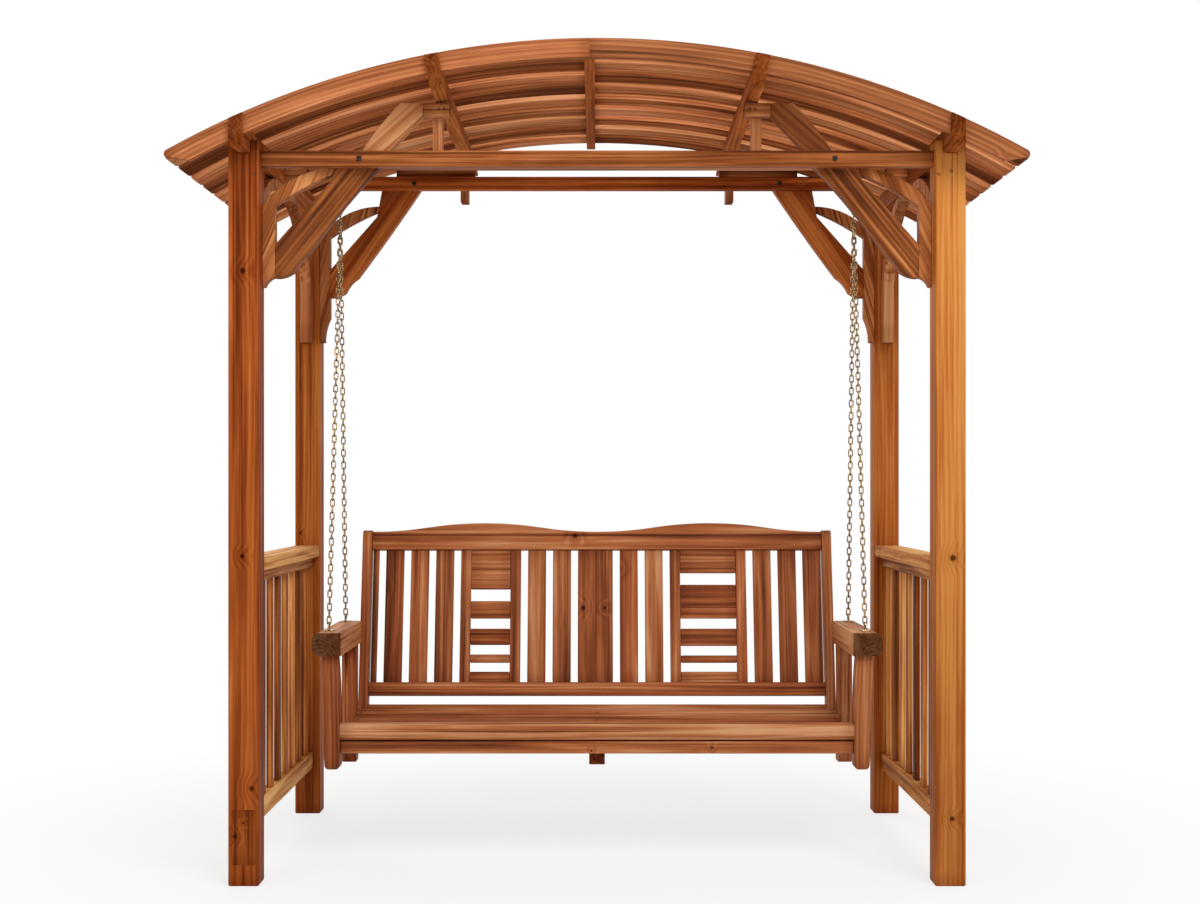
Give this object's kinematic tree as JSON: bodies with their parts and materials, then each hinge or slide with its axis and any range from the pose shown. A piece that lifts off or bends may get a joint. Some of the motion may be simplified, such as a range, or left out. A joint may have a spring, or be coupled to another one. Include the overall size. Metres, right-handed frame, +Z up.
{
  "type": "garden swing seat",
  "caption": "Timber garden swing seat: a slatted bench hung on chains inside a post frame with side panels, shaped braces and an arched slatted roof.",
  "frame": {"origin": "on the ground at the centre of the frame's footprint", "axes": "+X to the right seen from the front, +Y to the back, +Z up; the seat faces -Y"},
  "size_m": [2.2254, 1.291, 2.1958],
  "materials": {
    "post_timber": "oiled orange-brown hardwood, vertical grain with knots",
    "frame_timber": "oiled hardwood, sawn and planed",
    "roof_timber": "oiled thin laths, mixed reddish and pale boards",
    "panel_timber": "paler tan oiled hardwood",
    "bench_timber": "oiled reddish-brown hardwood, satin",
    "chain_steel": "passivated steel with a brassy tint",
    "bolt_iron": "dark square heads"
  },
  "bodies": {
    "frame": {"coach_bolts": "bolt_iron", "eave_purlin_left": "frame_timber", "eave_purlin_right": "frame_timber", "fascia_left": "roof_timber", "fascia_right": "roof_timber", "front_beam": "frame_timber", "hangers_left": "frame_timber", "hangers_right": "frame_timber", "hooks": "chain_steel", "king_posts": "frame_timber", "knee_braces_left": "frame_timber", "knee_braces_right": "frame_timber", "mid_purlin_left": "frame_timber", "mid_purlin_right": "frame_timber", "post_front_left": "post_timber", "post_front_right": "post_timber", "post_rear_left": "post_timber", "post_rear_right": "post_timber", "rear_beam": "frame_timber", "ridge_batten": "roof_timber", "roof_slats_left": "roof_timber", "roof_slats_right": "roof_timber", "side_bottom_rail_left": "panel_timber", "side_bottom_rail_right": "panel_timber", "side_cap_left": "panel_timber", "side_cap_right": "panel_timber", "side_slats_left": "panel_timber", "side_slats_right": "panel_timber", "side_top_rail_left": "panel_timber", "side_top_rail_right": "panel_timber", "strut_front_left": "frame_timber", "strut_front_right": "frame_timber", "strut_rear_left": "frame_timber", "strut_rear_right": "frame_timber", "swing_beam": "frame_timber", "ties": "frame_timber", "upper_struts": "frame_timber"},
    "seat": {"upper_chains": "chain_steel", "front_chains": "chain_steel", "rear_chains": "chain_steel", "rings": "chain_steel", "arm_eyes": "chain_steel", "arms": "bench_timber", "front_legs": "bench_timber", "rear_legs": "bench_timber", "back_posts": "bench_timber", "back_top_rail": "bench_timber", "back_bottom_rail": "bench_timber", "rear_seat_rail": "bench_timber", "back_slats": "bench_timber", "back_panel_left": "bench_timber", "back_panel_right": "bench_timber", "seat_bearers": "bench_timber", "seat_slats": "bench_timber", "seat_nose": "bench_timber", "seat_apron": "bench_timber"}
  },
  "joints": [
    {"name": "swing", "type": "hinge", "parent": "frame", "child": "seat", "pos_m": [0, 0, 1.944], "axis": [1, 0, 0], "range_deg": [-25, 25]}
  ]
}
